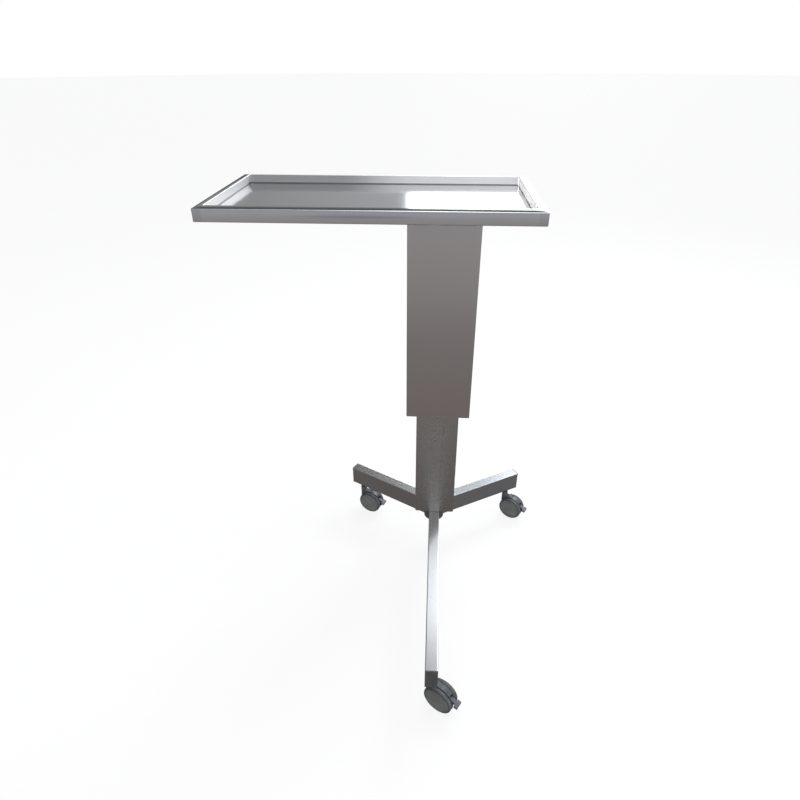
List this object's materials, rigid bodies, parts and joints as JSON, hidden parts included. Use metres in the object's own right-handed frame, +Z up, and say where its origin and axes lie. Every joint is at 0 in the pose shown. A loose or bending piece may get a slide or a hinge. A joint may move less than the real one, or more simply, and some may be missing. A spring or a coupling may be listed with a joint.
{
  "type": "instrument cart",
  "caption": "Height-adjustable stainless instrument cart: shallow rectangular tray on a telescoping column, spread-leg base, braked twin-wheel casters.",
  "frame": {"origin": "on the floor, in the middle of the cart's outline seen from above", "axes": "+Z up; +X along the tray towards its short overhang, -Y towards the long front leg"},
  "size_m": [0.837, 0.79, 1.0863],
  "materials": {
    "tray_steel": "satin brushed stainless sheet",
    "sleeve_steel": "satin brushed stainless, grain up the column",
    "column_steel": "satin brushed stainless, grain up the column",
    "leg_steel": "satin brushed stainless tube",
    "plug_plastic": "moulded dark grey plastic",
    "plate_steel": "mill finish stainless plate",
    "zinc_fasteners": "zinc plated",
    "guide_plastic": "natural acetal",
    "spring_black": "black lacquer",
    "foot_black": "black coated steel",
    "rod_chrome": "polished",
    "lever_steel": "flat steel bar, zinc plated",
    "grip_plastic": "soft moulded plastic",
    "caster_steel": "zinc plated",
    "hood_plastic": "moulded blue grey nylon",
    "wheel_plastic": "moulded grey nylon",
    "tyre_rubber": "soft grey tread, fine ribs",
    "pedal_plastic": "moulded blue grey nylon"
  },
  "bodies": {
    "base": {"inner_column": "column_steel", "column_base_plate": "plate_steel", "base_plate_bolts": "zinc_fasteners", "upper_guide_block": "guide_plastic", "gas_spring_foot": "foot_black", "gas_spring_cylinder": "spring_black", "gas_spring_seal_cap": "spring_black", "leg_hub": "leg_steel", "leg_front": "leg_steel", "leg_rear_left": "leg_steel", "leg_rear_right": "leg_steel", "leg_plug_front": "plug_plastic", "leg_plug_rear_left": "plug_plastic", "leg_plug_rear_right": "plug_plastic", "caster_weld_nuts": "zinc_fasteners", "caster_front_stem": "caster_steel", "caster_rear_left_stem": "caster_steel", "caster_rear_right_stem": "caster_steel"},
    "carriage": {"column_sleeve": "sleeve_steel", "sleeve_top_plate": "plate_steel", "lower_guide_collar": "guide_plastic", "tray_pan": "tray_steel", "tray_rail_front": "plate_steel", "tray_rail_rear": "plate_steel", "tray_mount_bolts": "zinc_fasteners", "tray_mount_nuts": "zinc_fasteners", "gas_spring_rod": "rod_chrome", "rod_lock_nuts": "zinc_fasteners", "lever_bracket": "plate_steel", "lever_pivot_pin": "zinc_fasteners"},
    "release_lever": {"release_lever": "lever_steel", "lever_grip": "grip_plastic"},
    "release_pin": {"release_pin": "rod_chrome"},
    "caster_front": {"caster_front_hood": "hood_plastic", "caster_front_axle": "caster_steel", "caster_front_pedal_pin": "caster_steel"},
    "caster_front_wheel_l": {"caster_front_wheel_left": "wheel_plastic", "caster_front_tyre_left": "tyre_rubber"},
    "caster_front_wheel_r": {"caster_front_wheel_right": "wheel_plastic", "caster_front_tyre_right": "tyre_rubber"},
    "caster_front_pedal": {"caster_front_brake_pedal": "pedal_plastic"},
    "caster_rear_left": {"caster_rear_left_hood": "hood_plastic", "caster_rear_left_axle": "caster_steel", "caster_rear_left_pedal_pin": "caster_steel"},
    "caster_rear_left_wheel_l": {"caster_rear_left_wheel_left": "wheel_plastic", "caster_rear_left_tyre_left": "tyre_rubber"},
    "caster_rear_left_wheel_r": {"caster_rear_left_wheel_right": "wheel_plastic", "caster_rear_left_tyre_right": "tyre_rubber"},
    "caster_rear_left_pedal": {"caster_rear_left_brake_pedal": "pedal_plastic"},
    "caster_rear_right": {"caster_rear_right_hood": "hood_plastic", "caster_rear_right_axle": "caster_steel", "caster_rear_right_pedal_pin": "caster_steel"},
    "caster_rear_right_wheel_l": {"caster_rear_right_wheel_left": "wheel_plastic", "caster_rear_right_tyre_left": "tyre_rubber"},
    "caster_rear_right_wheel_r": {"caster_rear_right_wheel_right": "wheel_plastic", "caster_rear_right_tyre_right": "tyre_rubber"},
    "caster_rear_right_pedal": {"caster_rear_right_brake_pedal": "pedal_plastic"}
  },
  "joints": [
    {"name": "tray_height", "type": "slide", "parent": "base", "child": "carriage", "axis": [0, 0, 1], "range_m": [-0.28, 0.1]},
    {"name": "release_lever_pull", "type": "hinge", "parent": "carriage", "child": "release_lever", "pos_m": [0.12947, 0.20303, 1.0532], "axis": [0, -1, 0], "range_deg": [0, 6]},
    {"name": "release_pin_press", "type": "slide", "parent": "carriage", "child": "release_pin", "axis": [0, 0, 1], "range_m": [-0.003, 0]},
    {"name": "caster_front_swivel", "type": "hinge", "parent": "base", "child": "caster_front", "pos_m": [0.10547, -0.34397, 0.0375], "axis": [0, 0, 1], "continuous": true},
    {"name": "caster_front_wheel_left_spin", "type": "hinge", "parent": "caster_front", "child": "caster_front_wheel_l", "pos_m": [0.13006, -0.35934, 0.0375], "axis": [0.5299, 0.848, 0], "continuous": true},
    {"name": "caster_front_wheel_right_spin", "type": "hinge", "parent": "caster_front", "child": "caster_front_wheel_r", "pos_m": [0.13006, -0.35934, 0.0375], "axis": [0.5299, 0.848, 0], "continuous": true},
    {"name": "caster_front_brake", "type": "hinge", "parent": "caster_front", "child": "caster_front_pedal", "pos_m": [0.15338, -0.37391, 0.0505], "axis": [0.5299, 0.848, 0], "range_deg": [0, 14]},
    {"name": "caster_rear_left_swivel", "type": "hinge", "parent": "base", "child": "caster_rear_left", "pos_m": [-0.13355, 0.34103, 0.0375], "axis": [0, 0, 1], "continuous": true},
    {"name": "caster_rear_left_wheel_left_spin", "type": "hinge", "parent": "caster_rear_left", "child": "caster_rear_left_wheel_l", "pos_m": [-0.10686, 0.3297, 0.0375], "axis": [0.3907, 0.9205, 0], "continuous": true},
    {"name": "caster_rear_left_wheel_right_spin", "type": "hinge", "parent": "caster_rear_left", "child": "caster_rear_left_wheel_r", "pos_m": [-0.10686, 0.3297, 0.0375], "axis": [0.3907, 0.9205, 0], "continuous": true},
    {"name": "caster_rear_left_brake", "type": "hinge", "parent": "caster_rear_left", "child": "caster_rear_left_pedal", "pos_m": [-0.08154, 0.31895, 0.0505], "axis": [0.3907, 0.9205, 0], "range_deg": [0, 14]},
    {"name": "caster_rear_right_swivel", "type": "hinge", "parent": "base", "child": "caster_rear_right", "pos_m": [0.34449, 0.34103, 0.0375], "axis": [0, 0, 1], "continuous": true},
    {"name": "caster_rear_right_wheel_left_spin", "type": "hinge", "parent": "caster_rear_right", "child": "caster_rear_right_wheel_l", "pos_m": [0.36935, 0.32609, 0.0375], "axis": [0.515, 0.8572, 0], "continuous": true},
    {"name": "caster_rear_right_wheel_right_spin", "type": "hinge", "parent": "caster_rear_right", "child": "caster_rear_right_wheel_r", "pos_m": [0.36935, 0.32609, 0.0375], "axis": [0.515, 0.8572, 0], "continuous": true},
    {"name": "caster_rear_right_brake", "type": "hinge", "parent": "caster_rear_right", "child": "caster_rear_right_pedal", "pos_m": [0.39292, 0.31193, 0.0505], "axis": [0.515, 0.8572, 0], "range_deg": [0, 14]}
  ],
  "couplings": [
    {"joint": "release_pin_press", "follows": "release_lever_pull", "m_per_rad": -0.024}
  ]
}
